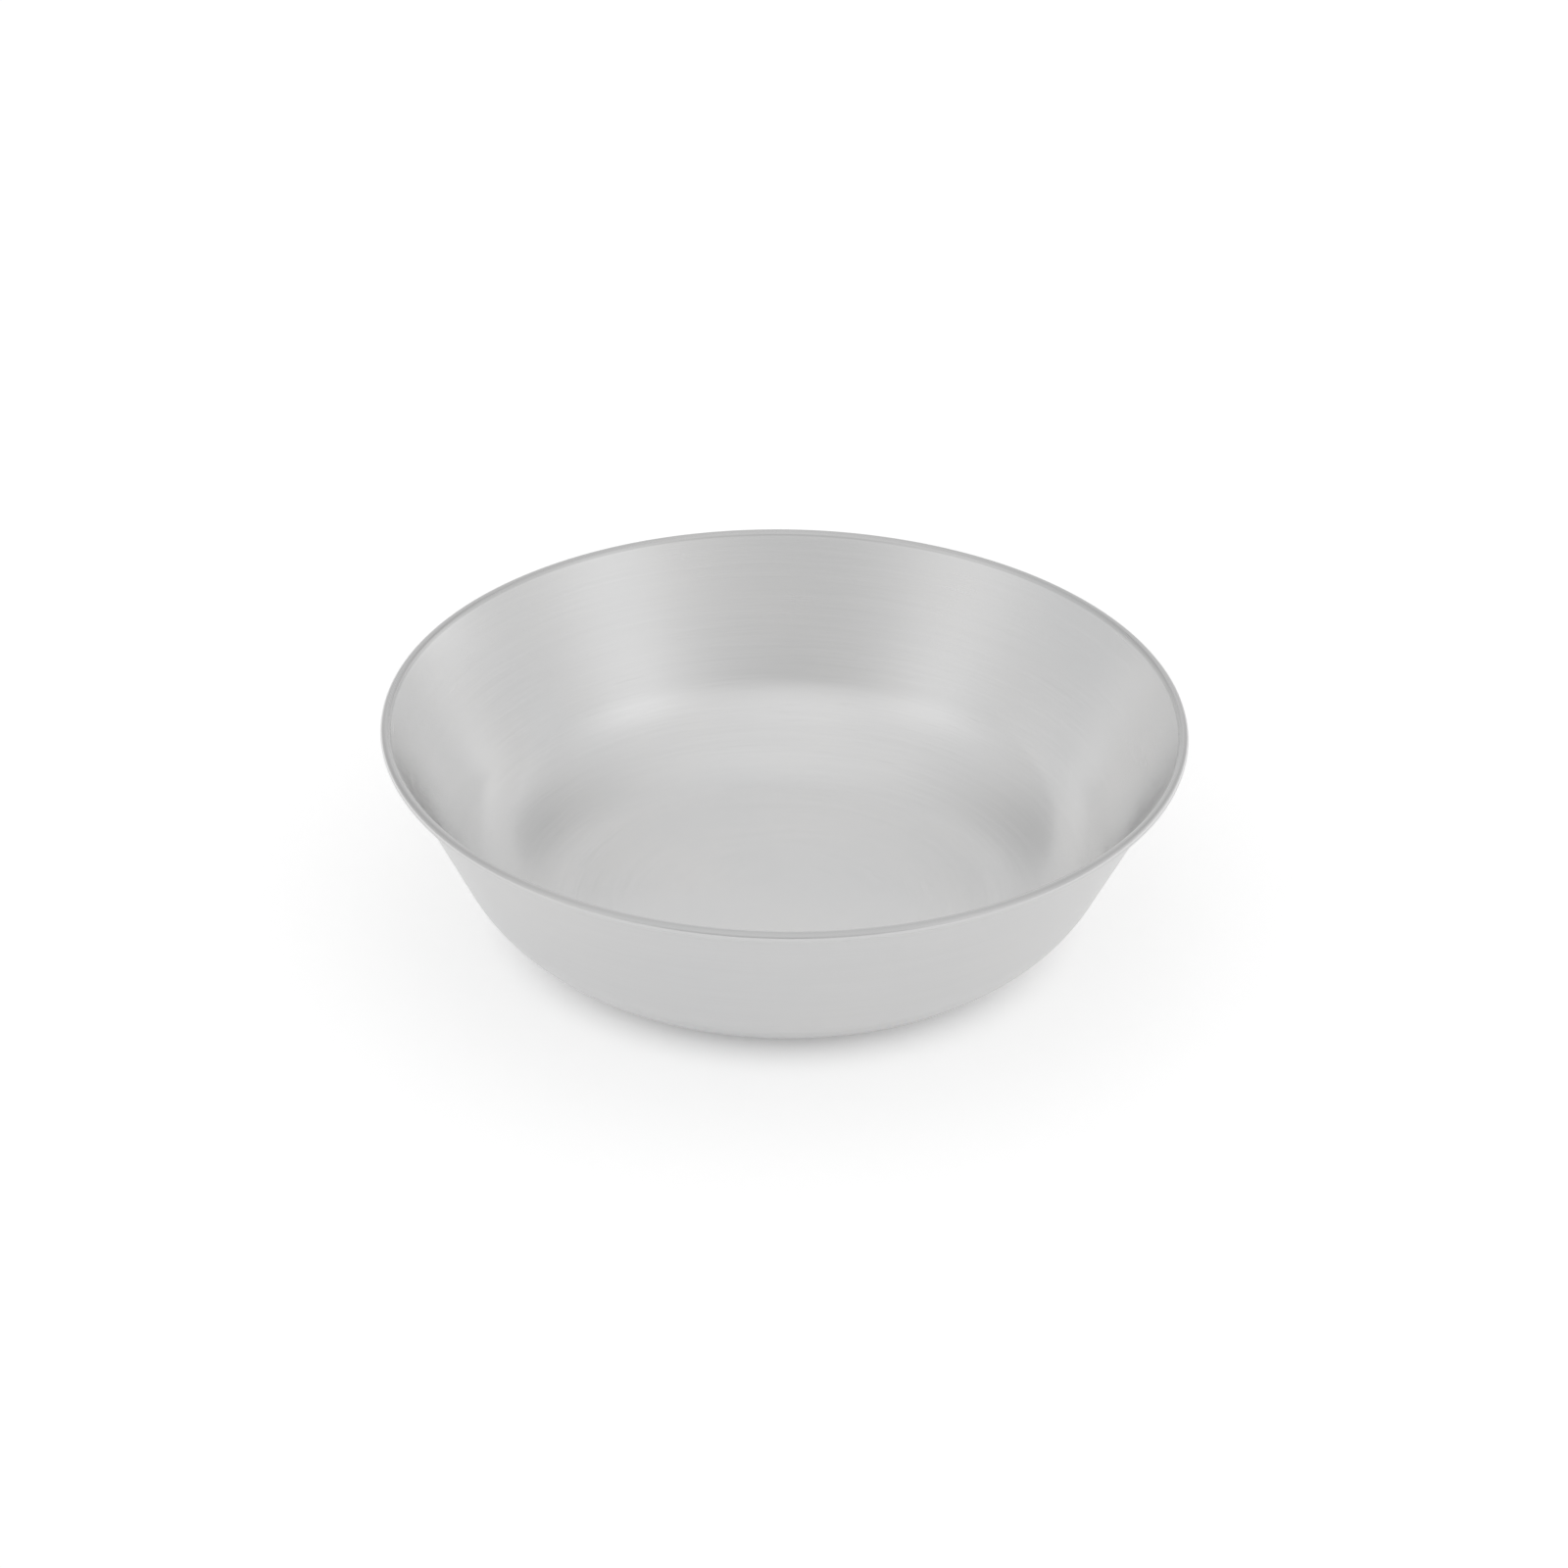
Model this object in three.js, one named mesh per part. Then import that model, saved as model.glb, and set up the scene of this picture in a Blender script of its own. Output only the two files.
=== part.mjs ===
// Metal evaporating dish: a round, flat-bottomed bowl pressed from one sheet, with its edge
// rolled outwards over a stiffening wire. Millimetres, +Z up, origin at the centre of the base.
import * as THREE from "three";

// Driving dimensions.
const RIM_DIAMETER = 100; // over the outside of the rolled rim
const HEIGHT = 27.5; // from the table to the top of the rim
const BASE_DIAMETER = 50; // the flat that the dish stands on
const CORNER_RADIUS = 17.5; // outside radius between the base and the wall
const SHEET = 0.3; // thickness of the metal
const ROLL_DIAMETER = 1.3; // the rolled rim, over its outside
const WIRE_DIAMETER = 0.5; // leaves 0.1 of play all round inside the roll
const SEAM_GAP = 0.1; // between the cut edge of the sheet and the wall that it is rolled back to

// Facets.
const TURN_SEGMENTS = 64; // round the dish
const CORNER_STEPS = 8;
const ROLL_STEPS = 18;
const EDGE_STEPS = 4; // round the cut edge of the sheet
const WIRE_STEPS = 12;

const QUARTER = Math.PI / 2;
const HALF_SHEET = SHEET / 2;

// Points of the section lie in a half-plane: x away from the axis, y up.
function onCircle(centre, radius, angle) {
  return new THREE.Vector2(Math.cos(angle), Math.sin(angle)).multiplyScalar(radius).add(centre);
}

function arc(centre, radius, from, to, steps) {
  return Array.from({ length: steps + 1 }, (_, i) =>
    onCircle(centre, radius, THREE.MathUtils.lerp(from, to, i / steps)),
  );
}

// Both bends of the sheet, with their radii at mid-sheet.
const cornerCentre = new THREE.Vector2(BASE_DIAMETER / 2, CORNER_RADIUS);
const cornerRadius = CORNER_RADIUS - HALF_SHEET;
const rollCentre = new THREE.Vector2(
  (RIM_DIAMETER - ROLL_DIAMETER) / 2,
  HEIGHT - ROLL_DIAMETER / 2,
);
const rollRadius = ROLL_DIAMETER / 2 - HALF_SHEET;

// The straight wall touches the corner on its outer side and the roll on its bowl side.
const toRoll = rollCentre.clone().sub(cornerCentre);
const wallSlope = toRoll.angle() + Math.asin((cornerRadius + rollRadius) / toRoll.length());

// The roll leaves the wall over the top and turns until its cut edge is a gap short of the wall.
const rollStart = wallSlope + QUARTER;
const rollTurn = 2 * Math.PI - Math.acos((rollRadius - SHEET - SEAM_GAP) / rollRadius);
const rollEnd = rollStart - rollTurn;

// One face of the sheet, offset from mid-sheet towards the bowl: HALF_SHEET, or less than zero
// for the face outside. The roll bends away from the bowl, so its offset adds to the radius.
function sheetFace(offset) {
  return [
    ...arc(cornerCentre, cornerRadius - offset, -QUARTER, wallSlope - QUARTER, CORNER_STEPS),
    ...arc(rollCentre, rollRadius + offset, rollStart, rollEnd, ROLL_STEPS),
  ];
}

function shellSection() {
  const edgeCentre = onCircle(rollCentre, rollRadius, rollEnd);
  const cutEdge = arc(edgeCentre, HALF_SHEET, rollEnd + Math.PI, rollEnd + 2 * Math.PI, EDGE_STEPS);
  return [
    new THREE.Vector2(0, 0),
    ...sheetFace(-HALF_SHEET),
    ...cutEdge.slice(1, -1),
    ...sheetFace(HALF_SHEET).reverse(),
    new THREE.Vector2(0, SHEET),
  ];
}

function wireSection() {
  const circle = arc(rollCentre, WIRE_DIAMETER / 2, 0, 2 * Math.PI, WIRE_STEPS);
  circle[WIRE_STEPS].copy(circle[0]); // close the ring exactly
  return circle;
}

// A lathe turns its section about Y, and the dish stands along Z.
function turned(name, section, material) {
  const mesh = new THREE.Mesh(new THREE.LatheGeometry(section, TURN_SEGMENTS), material);
  mesh.name = name;
  mesh.rotation.x = QUARTER;
  return mesh;
}

const satinSteel = new THREE.MeshStandardMaterial({
  color: 0xcacaca,
  roughness: 0.32,
  metalness: 1,
});
const drawnWire = new THREE.MeshStandardMaterial({
  color: 0xb4b4b2,
  roughness: 0.4,
  metalness: 1,
});

const dish = new THREE.Group();
dish.name = "evaporating_dish";
dish.add(turned("dish_shell", shellSection(), satinSteel));
dish.add(turned("rim_wire", wireSection(), drawnWire));

export default dish;
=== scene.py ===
"""Evaporating dish in satin steel: a bowl pressed from one sheet, its edge rolled over a wire."""

import math

import bpy
from mathutils import Matrix, Vector, noise


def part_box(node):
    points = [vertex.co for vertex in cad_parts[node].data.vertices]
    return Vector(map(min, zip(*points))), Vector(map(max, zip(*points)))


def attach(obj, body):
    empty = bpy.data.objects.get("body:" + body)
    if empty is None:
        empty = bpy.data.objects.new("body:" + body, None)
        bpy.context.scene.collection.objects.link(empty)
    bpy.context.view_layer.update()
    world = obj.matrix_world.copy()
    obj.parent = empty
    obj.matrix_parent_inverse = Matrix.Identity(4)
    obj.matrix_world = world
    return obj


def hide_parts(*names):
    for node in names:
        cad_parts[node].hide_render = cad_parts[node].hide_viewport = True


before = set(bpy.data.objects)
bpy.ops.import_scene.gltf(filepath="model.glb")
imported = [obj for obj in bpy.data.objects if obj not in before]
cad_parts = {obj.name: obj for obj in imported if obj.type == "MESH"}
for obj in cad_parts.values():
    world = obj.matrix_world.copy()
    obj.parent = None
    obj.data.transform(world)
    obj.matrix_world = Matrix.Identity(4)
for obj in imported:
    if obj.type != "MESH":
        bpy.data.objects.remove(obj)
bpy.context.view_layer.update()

# ---------------------------------------------------------------- sizes, in metres and radians
MM = 0.001
QUARTER = math.pi / 2
_, SHELL_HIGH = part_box("dish_shell")
WIRE_LOW, WIRE_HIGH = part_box("rim_wire")
HEIGHT = SHELL_HIGH[2]
LOW_WALL = 0.3 * HEIGHT  # just below the end of the base radius
HIGH_WALL = 0.75 * HEIGHT
WIRE_RADIUS = (WIRE_HIGH[2] - WIRE_LOW[2]) / 2
ROLL_CENTRE = Vector((WIRE_HIGH[0] - WIRE_RADIUS, (WIRE_HIGH[2] + WIRE_LOW[2]) / 2))
ROLL_OUTSIDE = HEIGHT - ROLL_CENTRE.y
SHEET = 0.3 * MM
SEAM_GAP = 0.1 * MM  # between the cut edge of the sheet and the wall that it is rolled back to
BASE_RADIUS = 25 * MM
CORNER_RADIUS = 17.5 * MM  # outside radius between the base and the wall
CORNER_CENTRE = Vector((BASE_RADIUS, CORNER_RADIUS))

# Radii of both bends at mid-sheet, and the slope of the wall that touches them. The roll leaves
# the wall over the top and turns until its cut edge is the gap short of the wall.
corner_radius = CORNER_RADIUS - SHEET / 2
roll_radius = ROLL_OUTSIDE - SHEET / 2
to_roll = ROLL_CENTRE - CORNER_CENTRE
wall_slope = math.atan2(to_roll.y, to_roll.x)
wall_slope += math.asin((corner_radius + roll_radius) / to_roll.length)
roll_start = wall_slope + QUARTER
roll_end = roll_start - 2 * math.pi + math.acos((roll_radius - SHEET - SEAM_GAP) / roll_radius)

TURN_SEGMENTS = 256
FLOOR_STEPS = 28
CORNER_STEPS = 40
WALL_STEPS = 24
ROLL_STEPS = 56
POLISH_AND_LIGHT_FADE = ROLL_STEPS // 3  # steps in which the polish and the inside's painted light run out, over the top of the roll
EDGE_STEPS = 8
WIRE_STEPS = 20


# ---------------------------------------------------------------- the section
def on_circle(centre, radius, angle):
    return centre + Vector((math.cos(angle), math.sin(angle))) * radius


def arc(centre, radius, start, stop, steps):
    return [
        on_circle(centre, radius, start + (stop - start) * i / steps)
        for i in range(steps + 1)
    ]


def between(a, b, steps):
    """The points between a and b, without a and b."""
    return [a.lerp(b, i / steps) for i in range(1, steps)]


def sheet_face(offset):
    """One face of the sheet, from the middle of the floor to the cut edge, offset to the bowl."""
    corner = arc(CORNER_CENTRE, corner_radius - offset, -QUARTER, wall_slope - QUARTER, CORNER_STEPS)
    roll = arc(ROLL_CENTRE, roll_radius + offset, roll_start, roll_end, ROLL_STEPS)
    middle = Vector((0, corner[0].y))
    floor = between(middle, corner[0], FLOOR_STEPS)
    wall = between(corner[-1], roll[0], WALL_STEPS)
    return [middle] + floor + corner + wall + roll


def shell_section():
    """The closed section of the sheet, and each point's share of the bowl's polish and of its painted
    light.
    """
    outside = sheet_face(-SHEET / 2)
    inside = sheet_face(SHEET / 2)
    edge_centre = on_circle(ROLL_CENTRE, roll_radius, roll_end)
    edge = arc(edge_centre, SHEET / 2, roll_end + math.pi, roll_end + 2 * math.pi, EDGE_STEPS)[1:-1]
    in_bowl = len(inside) - ROLL_STEPS
    # 1 gives the inside's polish and painted light, 0 the outside's rougher finish and painted shade.
    polish_and_painted_light = [1.0] * in_bowl + [max(0.0, 1 - i / POLISH_AND_LIGHT_FADE) for i in range(ROLL_STEPS)]
    unpolished_and_painted_darker = [0.0] * (len(outside) + len(edge))
    return outside + edge + inside[::-1], unpolished_and_painted_darker + polish_and_painted_light[::-1]


# ---------------------------------------------------------------- the meshes
OUT_OF_TRUE = 0.045 * MM
RIPPLE = 16 * MM
ON_AXIS = 1e-9


def out_of_true(point):
    """How far the pressed sheet stands in from its true form at a point of the wall."""
    fade_in = min(1.0, point.z / LOW_WALL)
    return OUT_OF_TRUE * fade_in * noise.noise(point / RIPPLE)


def turned(name, section, segments, closed, polish_and_painted_light):
    """A mesh of the section turned about Z. An open section starts and ends on the axis."""
    verts, faces, rings, polish_and_painted_light_at = [], [], [], []
    for point, polish_and_painted_light_here in zip(section, polish_and_painted_light):
        first = len(verts)
        turns = segments if point.x > ON_AXIS else 1
        for i in range(turns):
            a = 2 * math.pi * i / segments
            outward = Vector((math.cos(a), math.sin(a), 0))
            true = outward * point.x + Vector((0, 0, point.y))
            verts.append(true - outward * out_of_true(true))
            polish_and_painted_light_at.append(polish_and_painted_light_here)
        rings.append([first + i % turns for i in range(segments)])
    for low, high in zip(rings, rings[1:] + rings[:1] if closed else rings[1:]):
        for i in range(segments):
            j = (i + 1) % segments
            corners = [low[i], low[j], high[j], high[i]]
            faces.append([v for k, v in enumerate(corners) if v != corners[k - 1]])
    mesh = bpy.data.meshes.new(name)
    mesh.from_pydata(verts, [], faces)
    mesh.shade_smooth()
    # Each point's share of the polish and of the inside's painted light.
    mesh.attributes.new("polish_and_painted_light", "FLOAT", "POINT").data.foreach_set("value", polish_and_painted_light_at)
    piece = bpy.data.objects.new(name, mesh)
    bpy.context.scene.collection.objects.link(piece)
    return piece


# ---------------------------------------------------------------- materials
METALLIC = 0.93  # the rest scatters evenly, as a satin finish does beyond its gloss
# One steel, painted lighter inside and darker outside: painted light and painted shade.
INSIDE_PAINTED_LIGHT_TONE = 0.93
OUTSIDE_PAINTED_SHADE_TONE = 0.61
# The top of the rolled rim is painted darker: painted shade.
RIM_PAINTED_SHADE_TONE = 0.76
FLOOR_ROUGHNESS = 0.17
WALL_ROUGHNESS = 0.24
OUTSIDE_ROUGHNESS = 0.3
ANISOTROPY = 0.2
QUARTER_TURN = 0.25

MARK_DEPTH = 0.003 * MM
FINE_MARKS = (3, 0.16 * MM)  # spread and width: see brushing
BROAD_MARKS = (1.5, 0.9 * MM)
BROAD_SHARE = 0.35
WIRE_MARKS = (8, 0.03 * MM)
CLOUD = 26 * MM
SMUDGE = 13 * MM
LEFT_SCRATCHES = (-60, 5, 0.16 * MM)  # twist, spread and width: see hairlines
RIGHT_SCRATCHES = (95, 7, 0.22 * MM)
SCRATCHED_TO = (0.8 * HEIGHT, 0.4 * HEIGHT)  # the scratches run out between these heights
WORN_TONE = 0.93  # beside 1 for sound metal
FOOT_RADIUS = BASE_RADIUS - 1.2 * MM  # the ring on which the base slides on the bench
FOOT_WIDTH = (3.2 * MM, 1.4 * MM)  # the wear comes up between these distances from the ring
FOOT_WAVER = 2 * MM  # how far its edges wander
FOOT_HEIGHT = (0.14 * MM, 0.04 * MM)  # and between these heights
NOISE_LOW, NOISE_HIGH = 0.3, 0.7  # most of a noise lies between them


class Graph:
    """Adds shader nodes and joins them. A value is a number, a vector or another node's socket."""

    def __init__(self, tree):
        self.tree = tree

    def put(self, value, socket):
        if isinstance(value, bpy.types.NodeSocket):
            self.tree.links.new(value, socket)
        else:
            socket.default_value = value

    def node(self, kind, *given, **settings):
        """A new node with its first inputs given in order, and its settings by name."""
        made = self.tree.nodes.new("ShaderNode" + kind)
        for name, value in settings.items():
            setattr(made, name, value)
        for value, socket in zip(given, made.inputs):
            self.put(value, socket)
        return made

    def math(self, operation, *given):
        return self.node("Math", *given, operation=operation).outputs[0]

    def product(self, *factors):
        total = factors[0]
        for factor in factors[1:]:
            total = self.math("MULTIPLY", total, factor)
        return total

    def sum(self, *terms):
        total = terms[0]
        for term in terms[1:]:
            total = self.math("ADD", total, term)
        return total

    def blend(self, factor, a, b):
        """a where the factor is 0 and b where it is 1."""
        return self.math("MULTIPLY_ADD", factor, self.math("SUBTRACT", b, a), a)

    def step(self, value, low, high):
        """0 at low and 1 at high, smooth between them. Low may be the greater."""
        return self.node("MapRange", value, low, high, interpolation_type="SMOOTHSTEP").outputs[0]

    def vary(self, value, low, high):
        """Spreads a noise from low to high."""
        return self.node("MapRange", value, NOISE_LOW, NOISE_HIGH, low, high).outputs[0]

    def noise(self, vector, size, detail):
        made = self.node("TexNoise")
        self.put(vector, made.inputs["Vector"])
        made.inputs["Scale"].default_value = 1 / size
        made.inputs["Detail"].default_value = detail
        return made.outputs["Fac"]


def surface(name, metallic=0):
    mat = bpy.data.materials.new(name)
    mat.use_nodes = True
    shader = mat.node_tree.nodes["Principled BSDF"]
    shader.inputs["Metallic"].default_value = metallic
    return mat, Graph(mat.node_tree), shader


def bump(g, height, depth, shader):
    made = g.node("Bump")
    made.inputs["Strength"].default_value = 1
    made.inputs["Distance"].default_value = depth
    g.put(height, made.inputs["Height"])
    g.put(made.outputs[0], shader.inputs["Normal"])


def round_the_axis(g):
    """The place on the dish, its distance from the axis, its height, and the way to it."""
    place = g.node("TexCoord").outputs["Object"]
    x, y, z = g.node("SeparateXYZ", place).outputs
    flat = g.node("CombineXYZ", x, y, 0).outputs[0]
    radius = g.node("VectorMath", flat, operation="LENGTH").outputs["Value"]
    way = g.node("VectorMath", flat, operation="NORMALIZE").outputs[0]
    return place, radius, z, way


def brushing(g, way, across, spread, width):
    """Marks that run round the axis: about 1 / spread radians long, and width wide."""
    x, y, _ = g.node("SeparateXYZ", way).outputs
    u = g.product(x, spread)
    v = g.product(y, spread)
    w = g.math("DIVIDE", across, width)
    return g.noise(g.node("CombineXYZ", u, v, w).outputs[0], 1, 2)


def hairlines(g, way, across, twist, spread, width):
    """Sparse thin scratches, like brushing marks that also climb by a turn in 2 pi / twist."""
    turned_way = g.node("VectorRotate", way, rotation_type="Z_AXIS")
    g.put(g.product(across, twist), turned_way.inputs["Angle"])
    return g.step(brushing(g, turned_way.outputs[0], across, spread, width), 0.68, 0.78)


def satin_steel():
    mat, g, shader = surface("satin_steel", METALLIC)
    place, radius, z, way = round_the_axis(g)
    polish_and_painted_light = g.node("Attribute", attribute_name="polish_and_painted_light").outputs["Fac"]

    across = g.sum(radius, z)  # grows all the way from the middle of the floor to the rim
    fine = brushing(g, way, across, *FINE_MARKS)
    broad = brushing(g, way, across, *BROAD_MARKS)
    marks = g.blend(BROAD_SHARE, fine, broad)
    clouds = g.noise(place, CLOUD, 3)
    smudges = g.step(g.noise(place, SMUDGE, 4), 0.45, 0.75)
    left_scratches = hairlines(g, way, across, *LEFT_SCRATCHES)
    right_scratches = hairlines(g, way, across, *RIGHT_SCRATCHES)
    scratches = g.math("MAXIMUM", left_scratches, right_scratches)
    scratches = g.product(scratches, g.step(z, *SCRATCHED_TO))

    # The top of the rolled rim is painted darker than the bowl, a painted shade, and the foot is
    # worn.
    section_place = g.node("CombineXYZ", radius, z, 0).outputs[0]
    roll_centre = (ROLL_CENTRE.x, ROLL_CENTRE.y, 0)
    off_roll = g.node("VectorMath", section_place, roll_centre, operation="DISTANCE").outputs["Value"]
    rim = g.step(off_roll, 1.5 * ROLL_OUTSIDE, 0.9 * ROLL_OUTSIDE)
    off_foot = g.math("ABSOLUTE", g.sum(radius, -FOOT_RADIUS))
    off_foot = g.sum(off_foot, g.product(clouds, FOOT_WAVER))
    foot = g.product(g.step(off_foot, *FOOT_WIDTH), g.step(z, *FOOT_HEIGHT))

    # Painted light: the inside is painted lighter and the outside darker than the one steel.
    tone = g.blend(polish_and_painted_light, OUTSIDE_PAINTED_SHADE_TONE, INSIDE_PAINTED_LIGHT_TONE)
    # Painted shade on the top of the rolled rim.
    painted_rim_shade = g.product(rim, g.step(z, ROLL_CENTRE.y, ROLL_CENTRE.y + 0.4 * ROLL_OUTSIDE))
    tone = g.blend(painted_rim_shade, tone, RIM_PAINTED_SHADE_TONE)
    worn = g.blend(g.math("MAXIMUM", scratches, foot), 1, WORN_TONE)
    tone = g.product(tone, g.vary(clouds, 0.985, 1.015), g.vary(marks, 0.98, 1.02), worn)
    warmth = g.vary(clouds, 0.996, 1.004)
    colour = g.node("CombineColor", g.product(tone, warmth), tone, g.math("DIVIDE", tone, warmth))
    g.put(colour.outputs[0], shader.inputs["Base Color"])

    up_the_wall = g.step(z, LOW_WALL, HIGH_WALL)
    inside_roughness = g.blend(up_the_wall, FLOOR_ROUGHNESS, WALL_ROUGHNESS)
    roughness = g.sum(
        g.blend(polish_and_painted_light, OUTSIDE_ROUGHNESS, inside_roughness),
        g.vary(marks, -0.025, 0.025),
        g.product(smudges, 0.03),
        g.product(scratches, 0.06),
        g.product(foot, 0.12),
    )
    g.put(roughness, shader.inputs["Roughness"])
    bump(g, g.sum(marks, g.product(scratches, -0.5)), MARK_DEPTH, shader)

    # The brushing runs round the axis, so the gloss spreads across it, up the wall.
    shader.inputs["Anisotropic"].default_value = ANISOTROPY
    shader.inputs["Anisotropic Rotation"].default_value = QUARTER_TURN
    tangent = g.node("Tangent", direction_type="RADIAL", axis="Z")
    g.put(tangent.outputs[0], shader.inputs["Tangent"])
    return mat


def drawn_wire():
    mat, g, shader = surface("drawn_wire", METALLIC)
    _, radius, z, way = round_the_axis(g)
    marks = brushing(g, way, g.math("SUBTRACT", radius, z), *WIRE_MARKS)
    tone = g.vary(marks, 0.46, 0.54)
    colour = g.node("CombineColor", tone, tone, g.product(tone, 0.98))
    g.put(colour.outputs[0], shader.inputs["Base Color"])
    g.put(g.vary(marks, 0.36, 0.46), shader.inputs["Roughness"])
    bump(g, marks, MARK_DEPTH, shader)
    return mat


# ---------------------------------------------------------------- the dish
section, polish_and_painted_light = shell_section()
shell = turned("bowl_sheet", section, TURN_SEGMENTS, False, polish_and_painted_light)
shell.data.materials.append(satin_steel())
wire_circle = arc(ROLL_CENTRE, WIRE_RADIUS, 0, 2 * math.pi, WIRE_STEPS)[:-1]
wire = turned("rolled_in_wire", wire_circle, TURN_SEGMENTS, True, [0.0] * WIRE_STEPS)
wire.data.materials.append(drawn_wire())

for piece, node, slot in ((shell, "dish_shell", "satin_steel"), (wire, "rim_wire", "drawn_wire")):
    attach(piece, "root")
    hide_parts(node)

# ---------------------------------------------------------------- floor, light, camera
FLOOR_HALF = 3.0
FLOOR_GAP = 0.05 * MM
STAGE_TONE = 0.9
STAGE_ROUGHNESS = 0.9
FLOOR_GLOW = 0.46
SHADOW_UNDER_DISH = (24 * MM, 39 * MM)  # the floor's glow comes up between these distances from the axis: a painted shadow under the dish
WHITE = (1, 1, 1, 1)
floor_mesh = bpy.data.meshes.new("floor")
floor_corners = [
    (x * FLOOR_HALF, y * FLOOR_HALF, -FLOOR_GAP)
    for x, y in ((-1, -1), (1, -1), (1, 1), (-1, 1))
]
floor_mesh.from_pydata(floor_corners, [], [(0, 1, 2, 3)])
floor = bpy.data.objects.new("floor", floor_mesh)
bpy.context.scene.collection.objects.link(floor)
floor_mat, g, floor_shader = surface("floor")
floor_shader.inputs["Base Color"].default_value = (STAGE_TONE, STAGE_TONE, STAGE_TONE, 1)
floor_shader.inputs["Roughness"].default_value = STAGE_ROUGHNESS
floor_shader.inputs["Emission Color"].default_value = WHITE
_, off_axis, _, _ = round_the_axis(g)
# No glow under the dish: a painted shadow there.
g.put(g.product(g.step(off_axis, *SHADOW_UNDER_DISH), FLOOR_GLOW), floor_shader.inputs["Emission Strength"])
floor_mesh.materials.append(floor_mat)

# The studio is a dim white room with soft lights and dark screens in it. Each is an azimuth and
# an elevation in degrees, how much brighter it is than the room, and how tight it is. Azimuth 0
# is the camera's side and 90 is its right.
ROOM = 0.6
BROAD, SOFT, NARROW = 2, 7, 20
STUDIO = (
    (55, 25, 0.2, NARROW),  # front lights, for the bright bands of the back wall
    (-55, 25, 0.15, NARROW),
    (140, 35, -0.3, SOFT),  # dark screens at the back corners
    (-140, 35, -0.3, SOFT),
    (-5, 0, -0.45, SOFT),  # the unlit side where the camera stands, for the back wall's dark patch
    (-5, 30, 0.2, SOFT),  # a light over the camera
    (180, 40, 0.25, BROAD),  # a large one behind the dish
    (120, 5, 0.25, NARROW),  # a low one, for the right side of the outer wall
)
world = bpy.data.worlds.new("studio")
world.use_nodes = True
g = Graph(world.node_tree)
direction = g.node("TexCoord").outputs["Generated"]
brightness = ROOM
for azimuth, elevation, gain, tightness in STUDIO:
    a, e = math.radians(azimuth), math.radians(elevation)
    towards = (math.sin(a) * math.cos(e), -math.cos(a) * math.cos(e), math.sin(e))
    cosine = g.node("VectorMath", direction, towards, operation="DOT_PRODUCT").outputs["Value"]
    fall = g.math("EXPONENT", g.math("MULTIPLY_ADD", cosine, tightness, -tightness))
    brightness = g.math("MULTIPLY_ADD", fall, gain, brightness)
background = world.node_tree.nodes["Background"]
background.inputs["Color"].default_value = WHITE
g.put(g.math("MAXIMUM", brightness, 0), background.inputs["Strength"])
bpy.context.scene.world = world

CAMERA_DISTANCE = 0.6
CAMERA_ELEVATION = math.radians(30.2)
CAMERA_DIP = math.radians(0.792)
CAMERA_ROLL = math.radians(0.8)
SENSOR_WIDTH = 36
LENS = 111.16
cam_data = bpy.data.cameras.new("camera")
cam_data.sensor_width = SENSOR_WIDTH
cam_data.lens = LENS
cam = bpy.data.objects.new("camera", cam_data)
bpy.context.scene.collection.objects.link(cam)
rim_centre = Vector((0, 0, HEIGHT))
back = Vector((0, -math.cos(CAMERA_ELEVATION), math.sin(CAMERA_ELEVATION)))
tilt = QUARTER - CAMERA_ELEVATION - CAMERA_DIP
cam.matrix_world = (
    Matrix.Translation(rim_centre + back * CAMERA_DISTANCE)
    @ Matrix.Rotation(tilt, 4, "X")
    @ Matrix.Rotation(CAMERA_ROLL, 4, "Z")
)
bpy.context.scene.camera = cam
bpy.context.scene.view_settings.view_transform = "Standard"
